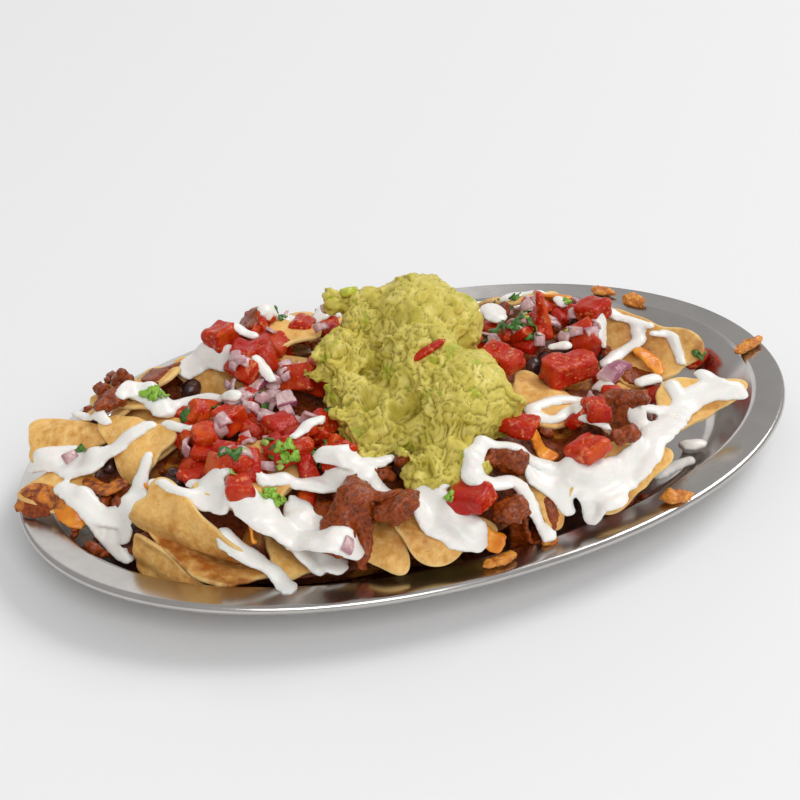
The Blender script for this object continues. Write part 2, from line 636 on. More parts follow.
# scoops are (x, y, z, half length, half width, half height, turn) in mm and degrees
guacamole = {
    "voxel": 0.75, "foot": 30, "chunks": 70, "chunkSize": (1.4, 4.2),
    "scoops": [
        (-9, -12, 47, 33, 44, 16, 0), (3, 6, 62, 25, 26, 27, 20), (-14, 17, 64, 14, 13, 19, 0),
        (12, 2, 66, 15, 17, 17, 40), (-3, -38, 58, 25, 27, 21, 10), (-8, -20, 66, 18, 20, 18, 0),
        (-34, -32, 51, 16, 22, 15, 20), (-40, -18, 56, 10, 12, 12, 0), (-33, 2, 60, 13, 14, 15, 0),
        (-25, -67, 46, 14, 13, 8, 30), (-18, -62, 50, 13, 12, 10, 0), (-44, -44, 48, 9, 10, 7, 0),
        (9, -50, 54, 10, 13, 11, 30), (-10, -46, 62, 14, 19, 14, 10),
    ],
    # flaps are thin torn smears at the edge of a scoop
    "flaps": [
        (-43, 4, 66, 9, 5, 2.2, 30), (-47, -2, 60, 8, 4, 2, -20), (-50, -30, 58, 6, 5, 2, 50),
        (-36, -64, 56, 9, 3, 2, -40), (-46, -52, 50, 7, 4, 2.4, 10), (18, -58, 62, 6, 4, 3, 60),
        (-24, 28, 74, 7, 5, 3, 10), (-12, -75, 50, 8, 5, 3, 0),
    ],
    # hollows are (x, y, z, radius, depth) in mm
    "hollows": [
        (-36, -58, 58, 9, 6), (-29, -45, 65, 8, 10), (-26, -37, 71, 6, 7), (-39, -32, 66, 7, 9),
        (-26, -26, 80, 7, 3), (-24, 4, 80, 6, 3), (-38, -8, 70, 7, 4), (-12, -66, 60, 6, 4),
    ],
}


def ballInto(shape, spot, size, turn=0, tilt=(0, 0), subdivisions=3):
    # an ellipsoid, with its place and half sizes in mm
    spin = Euler((math.radians(tilt[0]), math.radians(tilt[1]), math.radians(turn))).to_matrix()
    lie = (Matrix.Translation(Vector(spot) * mm) @ spin.to_4x4()
           @ Matrix.Diagonal((*(Vector(size) * mm), 1)))
    bmesh.ops.create_icosphere(shape, subdivisions=subdivisions, radius=1, matrix=lie)


def chop(spot, size):
    # broken facets that meet in shallow creases
    away, points = noise.voronoi(spot / size)
    tilt = (spot / size - points[0]).dot(noise.noise_vector(points[0] * 7.3))
    return 1.5 * tilt - 0.22 * (1 - smoothStep(0, 0.22, away[1] - away[0]))


def chopMove(spot):
    # how far the skin moves out at a place in mm: broad swells, then facets from coarse to
    # fine, then ridges, all rougher on the torn left side, and last the hollows
    bend = noise.noise_vector(spot / 7) * 3
    torn = 1 - smoothStep(-34, 2, spot.x + 0.3 * spot.y)
    ridge = 1 - abs(noise.noise((spot + bend * 2) / 5))
    move = (3.0 * noise.noise(spot / 17) + 2.2 * chop(spot + bend, 12)
            + (0.9 + 1.2 * torn) * chop(spot + bend, 6) + (0.2 + 0.5 * torn) * chop(spot, 2.8)
            + (0.5 + 1.2 * torn) * (ridge ** 3 - 0.5) + 0.25 * noise.noise(spot / 2))
    for x, y, z, radius, depth in guacamole["hollows"]:
        away = (spot - Vector((x, y, z))).length / radius
        if away < 1:
            move -= depth * (1 - away * away) ** 2
    return move


def makeGuacamole():
    rng = random.Random(5)
    shape = bmesh.new()
    for x, y, z, length, width, height, turn in guacamole["scoops"]:
        ballInto(shape, (x, y, z), (length, width, height), turn)
    for x, y, z, length, width, height, turn in guacamole["flaps"]:
        ballInto(shape, (x, y, z), (length, width, height), turn, (20, 25), 2)
    body = remesh(shape, 1.3 * mm, 6)
    body.normal_update()
    skins = rng.sample(sorted(body.verts, key=lambda vert: tuple(vert.co)), guacamole["chunks"])
    shape = bmesh.new()
    for vert in skins:
        size = rng.uniform(*guacamole["chunkSize"])
        ballInto(shape, (vert.co + vert.normal * size * 0.1 * mm) / mm,
                 (size, size * rng.uniform(0.5, 0.9), size * rng.uniform(0.4, 0.8)),
                 rng.uniform(0, 180), (rng.uniform(-40, 40), rng.uniform(-40, 40)), 1)
    for vert in body.verts:
        vert.co.z = max(vert.co.z, guacamole["foot"] * mm)
    mesh = bpy.data.meshes.new("body")
    body.to_mesh(mesh)
    body.free()
    shape.from_mesh(mesh)
    bpy.data.meshes.remove(mesh)
    body = remesh(shape, guacamole["voxel"] * mm, 2)
    body.normal_update()
    moves = [vert.normal * chopMove(vert.co / mm) * mm for vert in body.verts]
    for vert, move in zip(body.verts, moves):
        vert.co += move
    bmesh.ops.smooth_vert(body, verts=body.verts, factor=0.4,
                          use_axis_x=True, use_axis_y=True, use_axis_z=True)
    fold = body.verts.layers.float.new("fold")
    body.normal_update()
    for vert in body.verts:
        around = [edge.other_vert(vert).co for edge in vert.link_edges]
        middle = sum(around, Vector()) / len(around)
        vert[fold] = smoothStep(0.03, 0.24, (middle - vert.co).dot(vert.normal) / mm)
    return addPiece("guacamole_scoops", body, finishes["guacamole"], "guacamole", ["guacamole"])


guacamolePiece = makeGuacamole()


# bits stirred into the guacamole, as (x, y, z), then half the length, width and height, all
# in mm, and the turn in degrees; each one lies on the nearest place of the skin
stirredIn = {
    "tomato": [(-12, -32, 80, 7, 1.7, 1.2, -4)],
    "onion": [(-20, 7, 74, 4, 3.6, 1.6, 20), (-14, 10, 79, 3, 1.6, 1.2, 60),
              (-1, -11, 83, 2.4, 0.8, 0.7, 30), (1, -26, 83, 2.6, 0.8, 0.6, 60),
              (-14, -62, 60, 3, 1.6, 1.2, 80), (12, 12, 82, 3, 2, 0.8, 40),
              (8, 22, 86, 4.5, 1.3, 0.9, 20), (-33, 30, 64, 3, 2, 1.2, 0)],
    "avocado": [(-41, -37, 61, 5.5, 3, 2.6, -35), (-24, -23, 78, 4.6, 2.6, 1.6, 10),
                (-43, -38, 60, 3, 2.2, 1.6, 60), (-8, -66, 58, 4, 2.4, 1.8, 20),
                (10, -58, 62, 4, 2.6, 1.8, 10), (-3, -6, 86, 2.6, 1.4, 1.2, 70),
                (-20, 26, 80, 4, 2.6, 1.8, 40)],
    "scallion": [(-27, -14, 66, 3, 1.5, 0.9, 20), (-4, -39, 79, 3.6, 0.5, 0.5, 60),
                 (-46, -46, 56, 3.4, 1.8, 0.8, 80), (2, 18, 87, 3.6, 1.2, 0.7, -10),
                 (-30, -56, 64, 2, 1, 0.8, 30), (20, 18, 72, 3, 1, 0.8, 30)],
}


def lumpInto(shape, matrix, size, seed):
    # a small block with worn corners and uneven sides
    others = set(shape.verts)
    block = bmesh.ops.create_cube(shape, size=2)["verts"]
    bmesh.ops.subdivide_edges(shape, edges=edgesOf(block), cuts=3, use_grid_fill=True)
    for vert in set(shape.verts) - others:
        worn = vert.co.lerp(vert.co.normalized() * 1.25, 0.55)
        worn += noise.noise_vector(worn * 1.1 + seed) * 0.2
        vert.co = matrix @ (Vector([along * half for along, half in zip(worn, size)]) * mm)


def stirIn():
    tree = treeOf(guacamolePiece)
    for finish, bits in stirredIn.items():
        shape = bmesh.new()
        for x, y, z, length, width, height, turn in bits:
            spot = tree.find_nearest(Vector((x, y, z)) * mm)[0]
            normal = sum((tree.find_nearest(spot + Vector((i, j, k)) * 0.5 * length * mm)[1]
                          for i in (-1, 1) for j in (-1, 1) for k in (-1, 1)), Vector())
            normal.normalize()
            along = Vector((math.cos(math.radians(turn)), math.sin(math.radians(turn)), 0))
            across = normal.cross(along).normalized()
            lie = Matrix((across.cross(normal), across, normal)).transposed().to_4x4()
            matrix = Matrix.Translation(spot + normal * height * 0.4 * mm) @ lie
            lumpInto(shape, matrix, (length, width, height), Vector((x, y, z)))
        bmesh.ops.recalc_face_normals(shape, faces=shape.faces)
        addPiece("guacamole_bits_" + finish, shape, finishes[finish], "guacamole")


stirIn()
print("guacamole done")


# rough is (size, depth) in mm for each layer of unevenness
toppings = {
    "tomato": {"title": "diced_", "finish": "tomato", "slot": "tomato", "voxel": 0.6,
               "rough": ((8, 1.8), (3.5, 0.6))},
    "beef": {"title": "cooked_", "finish": "beef", "slot": "beef", "voxel": 0.6,
             "rough": ((6, 2.2), (3, 1.1), (1.4, 0.5))},
    "onion": {"title": "sliced_", "finish": "onion", "slot": "onion", "voxel": 0.5,
              "rough": ((5, 0.7), (2.5, 0.3))},
    "baked_cheese": {"title": "crisp_", "finish": "crust", "slot": "cheese", "voxel": 0.5,
                     "rough": ((5, 1.1), (2, 0.6), (0.9, 0.25))},
}
# the way that the skin side of each tomato piece faces
skinWays = [(0.3, -0.8, 0.6), (-0.5, -0.6, 0.6), (0.6, -0.5, 0.5), (0.1, 0.3, 1.0),
            (-0.8, -0.4, 0.3), (0.9, -0.3, 0.1), (0.2, -1.0, 0.1)]


def refineTopping(name, look, seed):
    body = remesh(copyOfNode(name), look["voxel"] * mm, 2)
    skin = body.verts.layers.float.new("skin")
    tint = body.verts.layers.float.new("tint")
    body.normal_update()
    way = Vector(skinWays[seed % len(skinWays)]).normalized()
    shade = (seed * 0.37) % 1
    for vert in body.verts:
        vert[skin] = smoothStep(0.45, 0.7, vert.normal.dot(way))
        vert[tint] = shade
    roughen(body, look["rough"], seed)
    addPiece(look["title"] + name, body, finishes[look["finish"]], look["slot"], [name])


for seed, name in enumerate(sorted(cadNodes)):
    kind = next((kind for kind in toppings if name.startswith(kind)), None)
    if kind:
        refineTopping(name, toppings[kind], seed)
print("named toppings done")


pile = {"halfX": 180, "halfY": 115, "heights": None, "owners": None}


def surveyPile():
    # the top of everything made so far, on a 1 mm grid, in mm, and whose it is
    graph = bpy.context.evaluated_depsgraph_get()
    points, faces, owners = [], [], []
    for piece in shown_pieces():
        solid = piece.evaluated_get(graph)
        mesh = solid.to_mesh()
        first = len(points)
        points += [vert.co.copy() for vert in mesh.vertices]
        faces += [[first + index for index in face.vertices] for face in mesh.polygons]
        owners += [piece.name] * len(mesh.polygons)
        solid.to_mesh_clear()
    tree = BVHTree.FromPolygons(points, faces)
    countX, countY = 2 * pile["halfX"] + 1, 2 * pile["halfY"] + 1
    pile["heights"] = np.zeros((countX, countY))
    pile["owners"] = [[""] * countY for _ in range(countX)]
    for i in range(countX):
        for j in range(countY):
            start = Vector(((i - pile["halfX"]) * mm, (j - pile["halfY"]) * mm, sky))
            hit, _, face, _ = tree.ray_cast(start, -up)
            if hit:
                pile["heights"][i, j] = round(hit.z / mm, 2)
                pile["owners"][i][j] = owners[face]


def ownerAt(x, y):
    i = min(max(round(x) + pile["halfX"], 0), 2 * pile["halfX"])
    j = min(max(round(y) + pile["halfY"], 0), 2 * pile["halfY"])
    return pile["owners"][i][j]


def pileTop(x, y):
    # height in mm over a place in mm
    i = min(max(x + pile["halfX"], 0), 2 * pile["halfX"] - 0.001)
    j = min(max(y + pile["halfY"], 0), 2 * pile["halfY"] - 0.001)
    i0, j0 = int(i), int(j)
    u, v = i - i0, j - j0
    h = pile["heights"]
    return float((h[i0, j0] * (1 - u) + h[i0 + 1, j0] * u) * (1 - v)
                 + (h[i0, j0 + 1] * (1 - u) + h[i0 + 1, j0 + 1] * u) * v)


def pileSlope(x, y, run):
    # which way is up there, for a thing of that half size
    tilt = Vector((pileTop(x - run, y) - pileTop(x + run, y),
                   pileTop(x, y - run) - pileTop(x, y + run), 2 * run))
    tilt.xy = tilt.xy * min(1, 2.2 * run / max(tilt.xy.length, 0.01))  # 48 degrees at most
    return tilt.normalized()


def restOn(x, y, reach):
    # a height at which a thing of that half size lies, sunk a little between its neighbours
    around = [pileTop(x + reach * math.cos(turn), y + reach * math.sin(turn))
              for turn in (0.3, 1.6, 2.8, 4.1, 5.4)]
    around.append(pileTop(x, y))
    around.sort()
    return sum(around[1:]) / (len(around) - 1)


def stamp(x, y, reach, top):
    # notes that something round now lies there
    i0, j0 = round(x + pile["halfX"]), round(y + pile["halfY"])
    span = int(reach) + 1
    for i in range(max(i0 - span, 0), min(i0 + span + 1, 2 * pile["halfX"])):
        for j in range(max(j0 - span, 0), min(j0 + span + 1, 2 * pile["halfY"])):
            away = math.hypot(i - pile["halfX"] - x, j - pile["halfY"] - y) / reach
            if away < 1:
                here = pile["heights"][i, j]
                pile["heights"][i, j] = max(here, top - 0.35 * reach * away * away)


# regions are (x, y, half length, half width) in mm
regions = {
    "pico": (-76, -12, 34, 44), "picoFront": (-80, -36, 28, 10), "picoBack": (-42, 52, 26, 24),
    "onionNest": (-68, 6, 16, 20), "backRight": (70, 22, 34, 36), "right": (82, -40, 36, 26),
    "front": (-20, -82, 60, 14), "leftEnd": (-128, 4, 32, 36), "whole": (-15, -8, 132, 76),
    "behindGuacamole": (10, 52, 40, 26), "rightFront": (52, -72, 34, 20),
    "leftFoot": (-150, -8, 12, 15), "leftFar": (-116, 40, 13, 11), "frontGap": (-64, -66, 12, 13),
    "backSlope": (-50, 56, 70, 18), "backFoot": (-84, 62, 62, 14),
    "rightGap": (62, -60, 14, 16),
}


def spotsIn(rng, counts, onto=("chilli", "chips")):
    # random places in each region that lie on one of those pieces, of so many tried
    for region, count in counts:
        x, y, halfLength, halfWidth = regions[region]
        spots = []
        for _ in range(count):
            u, v = rng.uniform(-1, 1), rng.uniform(-1, 1)
            spot = (x + u * halfLength, y + v * halfWidth)
            if u * u + v * v < 1 and ownerAt(*spot).startswith(onto):
                spots.append(spot)
        yield from spots


def tumble(rng, tip):
    # any turn, and a tip up to that much, in radians
    return rng.uniform(0, 6.3), rng.uniform(-tip, tip)


def layMatrix(x, y, reach, lift, turn, tip=0.0):
    # lies on the slope there, turned about it, and tipped
    slope = up.rotation_difference(pileSlope(x, y, max(reach, 1.5))).to_matrix().to_4x4()
    spin = Euler((tip, tip * 0.6, turn)).to_matrix().to_4x4()
    height = restOn(x, y, reach) + lift
    stamp(x, y, reach * 1.1, height + reach * 0.5)
    return Matrix.Translation(Vector((x, y, height)) * mm) @ slope @ spin


# what is scattered: how many places are tried in each region, and sizes from least to most
looseTomato = {
    "counts": (("pico", 84), ("picoFront", 16), ("picoBack", 18), ("backRight", 44),
               ("right", 9), ("behindGuacamole", 14), ("rightFront", 3)),
    "length": (7, 15), "width": (6.5, 11), "height": (4, 8), "tip": 0.4,
}
looseOnion = {
    "counts": (("onionNest", 60), ("pico", 44), ("picoBack", 20), ("backRight", 52),
               ("right", 14), ("front", 14), ("behindGuacamole", 14)),
    "length": (4.5, 9), "width": (4, 7), "height": (1.8, 3.4), "tip": 0.7,
}
looseLeaves = {
    "counts": (("pico", 26), ("picoFront", 12), ("picoBack", 4), ("backRight", 18),
               ("right", 5), ("front", 6), ("behindGuacamole", 4)),
    "size": (3, 8.5), "tip": 0.6, "thickness": 0.35,
}
springOnion = {
    "counts": (("pico", 16), ("picoFront", 14), ("backRight", 10), ("front", 8),
               ("leftEnd", 3)),
    "size": (2.5, 5.5), "tip": 0.5,
}
# onto says which pieces they may lie on, by the start of their names
looseLumps = {
    "beans_loose": {
        "finish": "bean", "slot": "beans", "seed": 21, "sizes": (8.5, 11), "sink": 0.2,
        "counts": (("whole", 60), ("leftEnd", 60)), "bent": True, "onto": ("chilli",),
    },
    "beef_loose": {
        "finish": "beef", "slot": "beef", "seed": 22, "sizes": (3, 7.5), "sink": 0.3,
        "counts": (("whole", 420), ("backRight", 80), ("right", 90), ("front", 60),
                   ("leftEnd", 50), ("backSlope", 130)), "bent": False, "onto": ("chilli",),
    },
    "beef_gaps": {
        "finish": "beef", "slot": "beef", "seed": 23, "sizes": (4, 8.5), "sink": 0.3,
        "counts": (("leftFoot", 14), ("leftFar", 34), ("frontGap", 60), ("rightGap", 16),
                   ("backFoot", 56)), "bent": False,
        "onto": ("chilli", "platter", "fried", "beans"),
    },
}


def diceInto(shape, matrix, size, rng, skin, tint):
    # a hand-cut cube with softened edges, its skin on one side
    made = bmesh.ops.create_cube(shape, size=1)["verts"]
    way = Vector((rng.choice((-1, 1)), 0, 0)) if rng.random() < 0.6 else up
    for vert in made:
        vert[skin] = 1 if vert.co.dot(way) > 0 else 0
        vert[tint] = rng.random() * 0.2
        jitter = Vector([rng.uniform(-0.12, 0.12) for _ in range(3)])
        vert.co = (vert.co + jitter) * Vector(size) * mm
    fresh = bmesh.ops.bevel(shape, geom=edgesOf(made), affect="EDGES", segments=1, profile=0.5,
                            offset=min(size) * 0.16 * mm, material=-1)["verts"]
    shade = rng.random()
    for vert in fresh:
        vert[tint] = shade
        vert.co = matrix @ vert.co


def scatterTomato():
    rng = random.Random(11)
    shape = shapeWith("skin", "tint")
    skin, tint = shape.verts.layers.float["skin"], shape.verts.layers.float["tint"]
    for x, y in spotsIn(rng, looseTomato["counts"]):
        size = [rng.uniform(*looseTomato[side]) for side in ("length", "width", "height")]
        reach = (size[0] + size[1]) / 4
        matrix = layMatrix(x, y, reach, size[2] * 0.25, *tumble(rng, looseTomato["tip"]))
        diceInto(shape, matrix, size, rng, skin, tint)
    bmesh.ops.recalc_face_normals(shape, faces=shape.faces)
    addPiece("tomato_loose", shape, finishes["tomato"], "tomato")


def stripInto(shape):
    # a unit cube cut twice across its length, ready to bend
    made = bmesh.ops.create_cube(shape, size=1)["verts"]
    long = [edge for edge in edgesOf(made) if edge.verts[0].co.x * edge.verts[1].co.x < 0]
    cut = bmesh.ops.subdivide_edges(shape, edges=long, cuts=2)["geom_inner"]
    fresh = [part for part in cut if isinstance(part, bmesh.types.BMVert)]
    found = dict.fromkeys(fresh)
    while fresh:
        around = dict.fromkeys(edge.other_vert(vert) for vert in fresh for edge in vert.link_edges)
        fresh = [vert for vert in around if vert not in found]
        found.update(around)
    return list(found)


def petalInto(shape, matrix, size, rng, skin):
    # a square of one onion layer, arched, purple on its outer side
    made = stripInto(shape)
    for vert in sorted(made, key=lambda vert: tuple(vert.co)):
        x, y, z = vert.co
        vert[skin] = rng.uniform(0.1, 0.95) if z > 0 and abs(x) > 0.3 else 0.12
        vert.co = Vector((x * size[0], y * size[1] * (1 - 0.3 * (x + 0.5)),
                          z * size[2] * 0.6 + size[2] * 0.5 * (1 - 4 * x * x))) * mm
    fresh = bmesh.ops.bevel(shape, geom=edgesOf(made),
                            affect="EDGES", segments=1, profile=0.5, material=-1,
                            offset=min(size) * 0.12 * mm)["verts"]
    for vert in fresh:
        vert.co = matrix @ vert.co


def scatterOnion():
    rng = random.Random(12)
    shape = shapeWith("skin", "tint")
    skin = shape.verts.layers.float["skin"]
    for x, y in spotsIn(rng, looseOnion["counts"]):
        size = [rng.uniform(*looseOnion[side]) for side in ("length", "width", "height")]
        matrix = layMatrix(x, y, size[0] * 0.4, 0.6, *tumble(rng, looseOnion["tip"]))
        petalInto(shape, matrix, size, rng, skin)
    bmesh.ops.recalc_face_normals(shape, faces=shape.faces)
    addPiece("onion_loose", shape, finishes["onion"], "onion")


def scatterLumps(name, look):
    rng = random.Random(look["seed"])
    shape = bmesh.new()
    for x, y in spotsIn(rng, look["counts"], look["onto"]):
        size = rng.uniform(*look["sizes"])
        wide = size * rng.uniform(0.62, 0.85)
        tall = size * rng.uniform(0.5, 0.75)
        lift = tall * (0.55 if ownerAt(x, y).startswith("platter") else look["sink"])
        matrix = layMatrix(x, y, size * 0.4, lift, *tumble(rng, 0.5))
        made = bmesh.ops.create_icosphere(shape, subdivisions=2, radius=0.5)["verts"]
        for vert in made:
            co = vert.co
            if look["bent"]:
                co = Vector((co.x, co.y + 0.25 * co.x * co.x, co.z))
            else:
                co = co * (1 + 0.5 * noise.noise(co * 3.5 + Vector((x, y, 0))))
            vert.co = matrix @ (co * Vector((size, wide, tall)) * mm)
            vert.co.z = max(vert.co.z, 1.1 * platter["sheet"] * mm)  # none pokes through
    addPiece(name, shape, finishes[look["finish"]], look["slot"])


def leafInto(shape, matrix, size, rng):
    # a lobed coriander leaf, cupped a little
    made = bmesh.ops.create_circle(shape, cap_ends=True, segments=21, radius=0.5)["verts"]
    centre = bmesh.ops.poke(shape, faces=made[0].link_faces[:])["verts"]
    phase = rng.uniform(0, 6.3)
    for vert in made + centre:
        turn = math.atan2(vert.co.y, vert.co.x)
        lobe = 0.62 + 0.38 * abs(math.cos(1.5 * turn)) + 0.12 * math.sin(10 * turn + phase)
        x, y = vert.co.x * lobe, vert.co.y * lobe
        cup = 0.35 * (x * x - y * y) + 0.12 * math.sin(6 * x + phase)
        vert.co = matrix @ (Vector((x, y, cup)) * size * mm)


def scatterLeaves():
    rng = random.Random(14)
    shape = bmesh.new()
    for x, y in spotsIn(rng, looseLeaves["counts"]):
        size = rng.uniform(*looseLeaves["size"])
        matrix = layMatrix(x, y, size * 0.3, 0.6, *tumble(rng, looseLeaves["tip"]))
        leafInto(shape, matrix, size, rng)
    piece = addPiece("coriander_leaves", shape, finishes["coriander"], "guacamole")
    sheet = piece.modifiers.new("sheet", "SOLIDIFY")
    sheet.thickness = looseLeaves["thickness"] * mm


def scatterBits():
    # chopped spring onion, short bent strips
    rng = random.Random(15)
    shape = bmesh.new()
    for x, y in spotsIn(rng, springOnion["counts"]):
        size = rng.uniform(*springOnion["size"])
        matrix = layMatrix(x, y, size * 0.4, 0.4, *tumble(rng, springOnion["tip"]))
        for vert in stripInto(shape):
            u, v, w = vert.co
            vert.co = matrix @ (Vector((u * size, v * 2.4 + 1.6 * u * u, w * 1.1 + 0.4)) * mm)
    bmesh.ops.recalc_face_normals(shape, faces=shape.faces)
    addPiece("spring_onion_bits", shape, finishes["scallion"], "guacamole")


# herbs that stand out, as (x, y, size, turn) in mm and degrees
placedLeaves = {
    "dark": [(-144, 19, 4, 70), (44, 9, 8, 40), (48, 4, 6, 160), (55, -1, 8, 80),
             (51, 4, 6, 300), (-99, -41, 6, 20), (-51, -23, 5, 60), (122, -32, 6, 10),
             (20, 60, 6, 40), (-40, 56, 6, 140), (72, 46, 6, 250), (-76, 52, 6, 30)],
    "light": [(-110, 27, 8, 30), (-106, 25, 5, 100), (-77, -43, 8, 70), (-80, -40, 5, 200),
              (-93, -55, 5, 10), (-88, -57, 6, 120), (-90, -53, 5, 250), (-103, -46, 5, 60),
              (-30, -88, 4, 30), (88, 26, 4, 0), (0, 64, 5, 0)],
}


def placeLeaves():
    rng = random.Random(16)
    for tone, spots in placedLeaves.items():
        shape = bmesh.new()
        for x, y, size, turn in spots:
            for part in range(3):
                angle = math.radians(turn) + part * 2.1
                u, v = x + 0.28 * size * math.cos(angle), y + 0.28 * size * math.sin(angle)
                height = max(pileTop(u, v), pileTop(x, y)) + 1.0
                slope = up.rotation_difference(pileSlope(x, y, 3)).to_matrix().to_4x4()
                spin = Euler((rng.uniform(-0.5, 0.5), rng.uniform(-0.5, 0.5), angle)).to_matrix()
                leafInto(shape, Matrix.Translation(Vector((u, v, height)) * mm) @ slope
                         @ spin.to_4x4(), size * 0.7, rng)
        piece = addPiece("coriander_" + tone, shape, finishes["leaf_" + tone], "guacamole")
        sheet = piece.modifiers.new("sheet", "SOLIDIFY")
        sheet.thickness = 0.4 * mm


# chips that lie buried under the toppings: (x, y, lift, size, lean, facing) in mm, degrees
buriedChips = [
    (-92, 54, -1, 44, 16, 80), (-70, 62, 1, 48, 20, 120), (-30, 66, 2, 50, 22, 95),
    (5, 70, 1, 48, 28, 80), (35, 66, 1, 50, 24, 70), (62, 52, -1, 46, 18, 60),
    (95, 40, 0, 46, 26, 50), (118, 8, -2, 42, 26, 10), (-85, -64, -4, 36, 26, -110),
    (-114, 16, -1, 44, 12, 170), (40, -34, -3, 36, 6, -40),
    (-60, 20, 1, 46, 10, 150), (20, 50, 2, 48, 14, 90), (-50, 44, 2, 46, 12, 110),
    (84, -24, -2, 40, 10, -30), (-84, -34, -3, 44, 8, -140), (-110, 44, -3, 42, 30, 130),
    (-8, 58, -2, 46, 20, 100), (-84, 70, -2, 42, 40, 95), (-122, 54, -2, 40, 38, 125),
    (-52, 74, -5, 42, 42, 90), (-18, 78, -6, 42, 40, 85),
]


def makeBuriedChips():
    shape = shapeWith("rim", "stain")
    platterTree = treeOf(platterPiece)
    for seed, (x, y, lift, size, lean, facing) in enumerate(buriedChips, 40):
        height = restOn(x, y, 6) + lift
        turn = math.radians(facing)
        tilt = Euler((0, math.radians(lean), turn)).to_matrix()
        spin = Matrix.Rotation(seed * 1.3, 3, "Z")
        corners = [Vector((x, y, height)) + tilt @ (spin @ Vector((*corner, 0))) * size * 0.5
                   for corner in triangle]
        for corner in corners:
            under = platterTree.ray_cast(Vector((corner.x, corner.y, 300)) * mm, -up)[0]
            corner.z = max(corner.z, under.z / mm + 4 if under else 34)
        chipInto(shape, corners, 2.5, 40 * seed, seed, 11, coreTree)
    bmesh.ops.recalc_face_normals(shape, faces=shape.faces)
    addPiece("chips_buried", shape, finishes["chip"], "chip")


surveyPile()
makeBuriedChips()
surveyPile()
for name, look in looseLumps.items():
    scatterLumps(name, look)
scatterTomato()
scatterOnion()
scatterBits()
scatterLeaves()
print("loose toppings done")

surveyPile()


def closePile(reach):
    # thick cream bridges gaps narrower than twice the reach
    offsets = [(i, j) for i in range(-reach, reach + 1) for j in range(-reach, reach + 1)
               if i * i + j * j <= reach * reach + 1]
    closed = pile["heights"]
    for pick in (np.maximum, np.minimum):
        edge = np.pad(closed, reach, mode="edge")
        best = None
        for i, j in offsets:
            part = edge[reach + i:reach + i + closed.shape[0],
                        reach + j:reach + j + closed.shape[1]]
            best = part.copy() if best is None else pick(best, part)
        closed = best
    edge = np.pad(closed, 1, mode="edge")
    closed = sum(edge[i:i + closed.shape[0], j:j + closed.shape[1]]
                 for i in range(3) for j in range(3)) / 9
    pile["heights"] = closed


def curveThrough(points, step):
    # even steps along a smooth line through (x, y, height, width) points
    ends = [points[0]] + list(points) + [points[-1]]
    dense = []
    for p0, p1, p2, p3 in zip(ends, ends[1:], ends[2:], ends[3:]):
        span = max(1, int(math.hypot(p2[0] - p1[0], p2[1] - p1[1]) / step))
        for part in range(span):
            t = part / span
            dense.append([0.5 * (2 * b + (c - a) * t + (2 * a - 5 * b + 4 * c - d) * t * t
                                 + (3 * b - a - 3 * c + d) * t ** 3)
                          for a, b, c, d in zip(p0, p1, p2, p3)])
    dense.append(list(points[-1]))
    return dense


def poolSquares(points, step):
    # squares that a run covers, with how far each is inside its edge and the run's height
    squares = {}
    for x, y, level, width in curveThrough(points, step):
        reach = width / 2 * (1 + 0.2 * noise.noise(Vector((x, y, 7)) / 5))
        span = int(reach / step) + 1
        i0, j0 = round(x / step), round(y / step)
        for i in range(i0 - span, i0 + span + 1):
            for j in range(j0 - span, j0 + span + 1):
                depth = reach - math.hypot(i * step - x, j * step - y)
                if depth > -0.35 * step and depth > squares.get((i, j), (-9, 0))[0]:
                    squares[i, j] = (depth, level)
    return squares


# how far a run may sink below its own height or climb above it, how many balls it may hang
# down a step, and how its balls grow from the edge inwards, in mm
poured = {"sink": 1.5, "climb": 6, "drops": 14, "edge": 0.95, "swell": 0.45}


def poolInto(shape, points, thickness, step):
    # lays a ball on each square, near the run's own height, or on what is there if it has
    # none, and more of them down a steep step
    squares = poolSquares(points, step)
    heights = {}
    for (i, j), (depth, level) in squares.items():
        height = pileTop(i * step, j * step)
        near = min(max(height, level - poured["sink"]), level + poured["climb"])
        heights[i, j] = near if level else height
    for _ in range(2):
        heights = {(i, j): sum(heights.get((i + u, j + v), own)
                               for u in (-1, 0, 1) for v in (-1, 0, 1)) / 9
                   for (i, j), own in heights.items()}
    for (i, j), (depth, level) in squares.items():
        radius = min(poured["edge"] + poured["swell"] * max(depth, 0), 0.6 * thickness)
        radius *= 1 + 0.2 * noise.noise(Vector((i, j, 3)) * step / 6)
        top = heights[i, j] + radius * 0.25
        lowest = min(heights.get((i + u, j + v), heights[i, j])
                     for u, v in ((1, 0), (-1, 0), (0, 1), (0, -1)))
        drops = min(int((heights[i, j] - lowest) / step), poured["drops"])
        for drop in range(drops + 1):
            ballInto(shape, (i * step, j * step, top - drop * step), (radius,) * 3, 0, (0, 0), 1)


def pourPiece(name, pours, look, finish, slot):
    shape = bmesh.new()
    for points in pours:
        widened = [(x, y, level, width * look["widen"] + look["extra"])
                   for x, y, level, width in points]
        poolInto(shape, widened, look["thickness"], look["step"])
    return addPiece(name, remesh(shape, look["voxel"] * mm, look["smoothing"]),
                    finishes[finish], slot)


